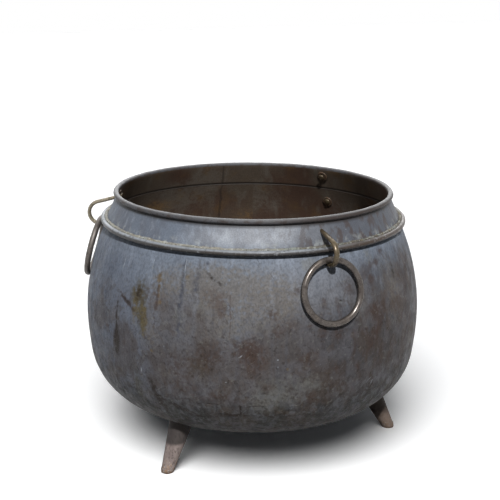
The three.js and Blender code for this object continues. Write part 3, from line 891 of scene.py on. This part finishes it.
ear_metal = Finish("yellow_bronze", tone(88, 77, 58), 0.27, 0.50, specular=0.5)
ear_metal.blotches(tone(66, 55, 41), 0.75, 0.02, 0.42, 0.66)
ear_metal.coat(ear_metal.facing(150, 0.3, 0.4), tone(150, 142, 124), 0.55)
ear_metal.blotches(tone(46, 39, 32), 0.6, 0.008, 0.55, 0.68, shift=(4, 2, 2))
ear_metal.blotches(tone(128, 118, 98), 0.35, 0.01, 0.58, 0.72, shift=(1, 9, 2))
ear_metal.gloss(ear_metal.cloud(0.01, 0.4, 0.7, shift=(3, 3, 3)), 0.18)
ear_metal.relief(ear_metal.cloud(0.003, 0.3, 0.7), 0.0001)
ear_finish = ear_metal.done()


def in_front(r, z):
    return Vector((0, -r, z))


def rod_along(name, path, sizes, sides):
    """A round rod in the front plane: a disc drawn out along a path and sized as it goes"""
    bpy.ops.object.select_all(action="DESELECT")
    bpy.ops.mesh.primitive_circle_add(vertices=sides, radius=1, fill_type="NGON")
    rod = bpy.context.object
    rod.name = name
    bpy.ops.object.mode_set(mode="EDIT")
    bpy.ops.mesh.select_mode(type="FACE")
    bpy.ops.mesh.select_all(action="SELECT")
    heading = Vector((0, 0, 1))
    place = Vector((0, 0, 0))
    size = (1, 1)
    for i, (at, wanted) in enumerate(zip(path, sizes)):
        if i:
            bpy.ops.mesh.extrude_region_move(TRANSFORM_OT_translate={"value": at - place})
        else:
            bpy.ops.transform.translate(value=at)
        place = at
        mesh = bmesh.from_edit_mesh(rod.data)
        ends = [v for v in mesh.verts if v.select]
        run = (path[min(i + 1, len(path) - 1)] - path[max(i - 1, 0)]).normalized()
        swing = heading.rotation_difference(run).to_matrix()
        across = Vector((1, 0, 0))
        for v in ends:
            spoke = v.co - place
            side = across * spoke.dot(across)
            deep = spoke - side
            v.co = place + swing @ (side * wanted[1] / size[1] + deep * wanted[0] / size[0])
        heading, size = run, wanted
        bmesh.update_edit_mesh(rod.data)
    bpy.ops.mesh.select_all(action="SELECT")
    bpy.ops.mesh.normals_make_consistent(inside=False)
    bpy.ops.object.mode_set(mode="OBJECT")
    return rod


def domed_head(at, facing, radius, height):
    """Half a ball, flattened, as a rivet's hammered end"""
    bpy.ops.object.select_all(action="DESELECT")
    bpy.ops.mesh.primitive_uv_sphere_add(segments=head_segments, ring_count=head_rings, radius=1)
    head = bpy.context.object
    bpy.ops.object.mode_set(mode="EDIT")
    bpy.ops.mesh.select_all(action="SELECT")
    bpy.ops.mesh.bisect(plane_co=origin, plane_no=(0, 0, 1), clear_inner=True, use_fill=True)
    bpy.ops.mesh.select_all(action="SELECT")
    bpy.ops.transform.resize(value=(radius, radius, height), center_override=origin)
    bpy.ops.object.mode_set(mode="OBJECT")
    stand = Vector((0, 0, 1)).rotation_difference(facing).to_matrix().to_4x4()
    head.data.transform(Matrix.Translation(at) @ stand)
    return head


def joined(piece, *others):
    only(piece)
    for other in others:
        other.select_set(True)
    bpy.ops.object.join()
    return piece


def smooth_step(x):
    x = min(max(x, 0), 1)
    return x * x * (3 - 2 * x)


def sized(before, after, share):
    return tuple(a + (b - a) * share for a, b in zip(before, after))


def wall_at(line, height):
    """Radius of a wall's outside at a height, and the way that it faces there"""
    for low, high in zip(line, line[1:]):
        if low.y <= height <= high.y:
            run = (high - low).normalized()
            share = (height - low.y) / (high.y - low.y)
            return low.x + (high.x - low.x) * share, Vector((run.y, -run.x))


def copied(piece, name, angle):
    """A copy with its own mesh, turned about the pot's axis"""
    only(piece)
    bpy.ops.object.duplicate(linked=False)
    copy = bpy.context.object
    copy.name = name
    copy.data.transform(Matrix.Rotation(radians(angle), 4, "Z"))
    return copy


bend_middle = in_front(ear_reach - ear_bend, ear_leg_height + ear_bend)
upper_start = bend_middle + in_front(ear_bend * sin(ear_slope), ear_bend * cos(ear_slope))
upper_inward = in_front(-cos(ear_slope), sin(ear_slope))
upper_leg = (-upper_start.y - ear_inner - head_bury) / cos(ear_slope)
belly_radius, belly_facing = wall_at(shoulder, ear_leg_height)
lower_leg = ear_reach - ear_bend - belly_radius + stack_depth + head_bury

ear_path = []
ear_sizes = []
for i in range(leg_steps):
    ear_path.append(upper_start + upper_inward * upper_leg * (1 - i / leg_steps))
    ear_sizes.append(sized(ear_upper, ear_top, smooth_step(i / upper_growth)))
for i in range(bend_steps + 1):
    a = pi / 2 - ear_slope - (pi - ear_slope) * i / bend_steps
    ear_path.append(bend_middle + in_front(ear_bend * cos(a), ear_bend * sin(a)))
    ear_sizes.append(sized(ear_top, ear_hang, smooth_step(i / bend_steps)))
hang_end = ear_path[-1]
for i in range(1, leg_steps + 1):
    ear_path.append(hang_end + in_front(-lower_leg * i / leg_steps, 0))
    ear_sizes.append(sized(ear_hang, ear_foot, smooth_step(i / lower_growth)))

ear = rod_along("ear_rod", ear_path, ear_sizes, ear_sides)
hammered(ear, ear_blows, ear_blow_depth)
collar_facing = in_front(cone_out.x, cone_out.y)
upper_end = ear_path[0] - upper_inward * head_bury
lower_facing = in_front(belly_facing.x, belly_facing.y)
lower_end = in_front(belly_radius, ear_leg_height) - lower_facing * stack_depth
joined(
    ear,
    domed_head(upper_end, -collar_facing, head_radius, head_height),
    domed_head(lower_end, -lower_facing, head_radius, head_height),
)
rounded(ear)
for side, angle in ear_turns.items():
    piece = copied(ear, "ear_rod_" + side, angle)
    stands_for(piece, "pot", "ear_" + side, "ear_bronze", ear_finish)
bpy.data.objects.remove(ear)

# Lifting rings
# Three loose bronze rings of 16 mm rod, each closed by a scarfed weld. They hang from the
# ears' lower legs and lean on the belly, rubbed bright where they are held.
ring_rod = 0.008
ring_radius = 0.171 / 2 - ring_rod
ring_pivot = Vector(next(j["pos_m"] for j in frame["joints"] if j["name"] == "front_ring_swing"))
ring_drop = ring_pivot.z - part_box("ring_front")[0].z - ring_rod
ring_lean = acos(ring_drop / (2 * ring_radius))
ring_columns = 144
ring_sides = 24
ring_blows = 0.02
ring_blow_depth = 0.0007

bronze = Finish("brown_bronze", tone(86, 80, 76), 0.27, 0.62, specular=0.6)
bronze.blotches(tone(74, 67, 62), 0.8, 0.035, 0.4, 0.62, shift=(2, 0, 1))
left_ring = bronze.facing(150, 0.36, 0.44)
bronze.coat(left_ring, tone(104, 98, 94), 0.7)
bronze.gloss(left_ring, 0.24)
bronze.blotches(tone(48, 41, 38), 0.6, 0.015, 0.52, 0.68, shift=(5, 2, 6))
bronze.blotches(tone(126, 116, 106), 0.4, 0.02, 0.56, 0.7, shift=(8, 8, 2))
bronze.blotches(tone(50, 42, 38), 0.5, 0.004, 0.54, 0.7, shift=(1, 2, 3))
bronze.gloss(bronze.cloud(0.012, 0.4, 0.7), 0.09)
bronze.relief(bronze.cloud(0.004, 0.3, 0.7), 0.00004)
ring_finish = bronze.done()

ring = hoop("ring_rod", ring_radius, 0, ring_rod, ring_columns, ring_sides)
hammered(ring, ring_blows, ring_blow_depth)
ring.data.transform(
    Matrix.Translation(ring_pivot)
    @ Matrix.Rotation(-ring_lean, 4, "X")
    @ Matrix.Translation((0, 0, -ring_radius))
    @ Matrix.Rotation(pi / 2, 4, "X")
)
rounded(ring)
for side, angle in ear_turns.items():
    piece = copied(ring, "ring_rod_" + side, angle)
    stands_for(piece, side + "_ring", "ring_" + side, "ring_bronze", ring_finish)
bpy.data.objects.remove(ring)

# Feet
# Three cast bronze feet, splayed and tapered to worn flat toes. Each is cut to the pan's curve
# and held by a tenon through the pan, hammered over a rove inside.
foot_reach = 0.389
foot_splay = radians(27.5)
foot_top_radius = 0.0355
toe_radius = 0.017
toe_rounding = 0.012
foot_sides = 48
foot_rows = 14
foot_fit = 0.0003
foot_overlap = 0.05
foot_blows = 0.016
foot_blow_depth = 0.0012
foot_head_radius = 0.017
core_columns = 160
foot_turns = {"right": 60, "back": 180, "left": 300}

cast = Finish("cast_bronze", tone(130, 118, 113), 0.62, 0.0, specular=0.15)
cast.blotches(tone(94, 83, 81), 0.7, 0.03, 0.42, 0.66, (1, 1, 0.5))
cast.blotches(tone(66, 56, 54), 0.6, 0.006, 0.5, 0.66, (1, 1, 0.5), shift=(2, 5, 2))
cast.blotches(tone(150, 140, 136), 0.5, 0.004, 0.54, 0.68, (1, 1, 0.5), shift=(9, 5, 2))
toe = cast.level(0.04, 0.008)
crust = cast.cloud(0.007, 0.44, 0.6, shift=(7, 1, 1))
cast.coat(cast.both(toe, crust), tone(138, 112, 90), 0.8)
cast.blotches(tone(190, 182, 172), 0.7, 0.004, 0.56, 0.68, shift=(3, 8, 1), levels=(0.04, 0.008))
cast.coat(cast.level(0.01, 0.001), tone(66, 54, 46), 0.7)
# Painted shadow: the upper part of each foot is darkened where the belly's shadow falls on it.
cast.coat(cast.level(0.066, 0.076), tone(45, 42, 41), 0.86)
# Painted shade: the right foot is laid darker, most of all above the toe.
right_foot_shade = cast.facing(-30, 0.2, 0.3)
cast.coat(right_foot_shade, tone(82, 69, 58), 0.66)
cast.coat(cast.both(right_foot_shade, cast.level(0.036, 0.058)), tone(34, 28, 24), 0.75)
cast.relief(cast.cloud(0.003, 0.3, 0.7), 0.0004)
cast.relief(cast.both(toe, crust), 0.0006)
foot_finish = cast.done()

core_line = [Vector((0, widest_height))] + bowl
core = turned("pot_core", core_line, core_columns, closed=True)
modified(core, "DISPLACE", strength=foot_fit, mid_level=0)


def through_pan(length):
    """Whether the foot's middle line, so long, has come up through the pan's outside"""
    return wall_at(bowl_up, length * cos(foot_splay))[0] > foot_reach - length * sin(foot_splay)


foot_up = in_front(-sin(foot_splay), cos(foot_splay))
toe_place = in_front(foot_reach, 0)
foot_length = next(mm / 1000 for mm in range(80, 200) if through_pan(mm / 1000))
foot_run = foot_length + foot_overlap - toe_rounding
foot_path = [toe_place - foot_up * toe_rounding / 2, toe_place + foot_up * toe_rounding / 4]
foot_widths = [toe_radius - toe_rounding / 4, toe_radius]
for i in range(foot_rows + 1):
    share = i / foot_rows
    foot_path.append(toe_place + foot_up * (toe_rounding + foot_run * share))
    foot_widths.append(toe_radius + (foot_top_radius - toe_radius) * share)
foot = rod_along("foot_cast", foot_path, [(w, w) for w in foot_widths], foot_sides)
hammered(foot, foot_blows, foot_blow_depth)
only(foot)
bpy.ops.object.mode_set(mode="EDIT")
bpy.ops.mesh.select_all(action="SELECT")
bpy.ops.mesh.bisect(plane_co=origin, plane_no=(0, 0, 1), clear_inner=True, use_fill=True)
bpy.ops.object.mode_set(mode="OBJECT")
modified(foot, "BOOLEAN", object=core, operation="DIFFERENCE", solver="EXACT")
bpy.data.objects.remove(core)
rounded(foot)

# Roves
# Washers of thick copper sheet inside the pot, hammered to the wall's curve under the riveted
# end of each ear leg and each foot's tenon.
rove_thickness = 0.003
rove_gap = 0.0003
rove_edge = 0.0009
ear_rove_radius = 0.015
foot_rove_radius = 0.027
rove_sides = 40
rove_insets = 4
rove_angle = 50

rove_metal = Finish("hammered_rove", tone(96, 76, 60), 0.45, 0.3)
rove_metal.blotches(tone(64, 52, 44), 0.8, 0.012, 0.42, 0.66)
rove_metal.blotches(tone(96, 108, 98), 0.5, 0.008, 0.56, 0.7, shift=(3, 1, 6))
rove_metal.relief(rove_metal.cloud(0.004, 0.3, 0.7), 0.0003)
rove_finish = rove_metal.done()


def rove(name, wall_piece, at, facing, radius):
    """A disc of sheet laid against a wall's inner face and thickened inward"""
    bpy.ops.object.select_all(action="DESELECT")
    bpy.ops.mesh.primitive_circle_add(vertices=rove_sides, radius=radius, fill_type="NGON")
    disc = bpy.context.object
    disc.name = name
    bpy.ops.object.mode_set(mode="EDIT")
    bpy.ops.mesh.select_mode(type="FACE")
    bpy.ops.mesh.select_all(action="SELECT")
    for _ in range(rove_insets):
        bpy.ops.mesh.inset(thickness=radius / (rove_insets + 1), depth=0)
    bpy.ops.object.mode_set(mode="OBJECT")
    stand = Vector((0, 0, 1)).rotation_difference(-facing).to_matrix().to_4x4()
    disc.data.transform(Matrix.Translation(at - facing * stack_depth) @ stand)
    modified(disc, "SHRINKWRAP", target=wall_piece, wrap_mode="OUTSIDE_SURFACE", offset=rove_gap)
    modified(disc, "SOLIDIFY", thickness=rove_thickness, offset=1)
    modified(disc, "BEVEL", width=rove_edge, segments=2, angle_limit=radians(rove_angle))
    rounded(disc)
    return disc


foot_root = toe_place + foot_up * foot_length
pan_facing = in_front(*wall_at(bowl_up, foot_root.z)[1])
ear_ends = (
    ("upper_rove_", collar, upper_end + collar_facing * stack_depth, collar_facing),
    ("lower_rove_", belly_wall, lower_end + lower_facing * stack_depth, lower_facing),
)
for side, angle in ear_turns.items():
    spin = Matrix.Rotation(radians(angle), 4, "Z")
    for end, wall_piece, at, facing in ear_ends:
        disc = rove(end + "disc_" + side, wall_piece, spin @ at, spin @ facing, ear_rove_radius)
        stands_for(disc, "pot", end + side, "rove_copper", rove_finish)
foot_head_place = foot_root - pan_facing * stack_depth
joined(foot, domed_head(foot_head_place, -pan_facing, foot_head_radius, head_height))
for side, angle in foot_turns.items():
    spin = Matrix.Rotation(radians(angle), 4, "Z")
    piece = copied(foot, "foot_cast_" + side, angle)
    stands_for(piece, "pot", "foot_" + side, "foot_bronze", foot_finish)
    at = spin @ foot_root
    disc = rove("foot_rove_disc_" + side, pan_wall, at, spin @ pan_facing, foot_rove_radius)
    stands_for(disc, "pot", "foot_rove_" + side, "rove_copper", rove_finish)
bpy.data.objects.remove(foot)
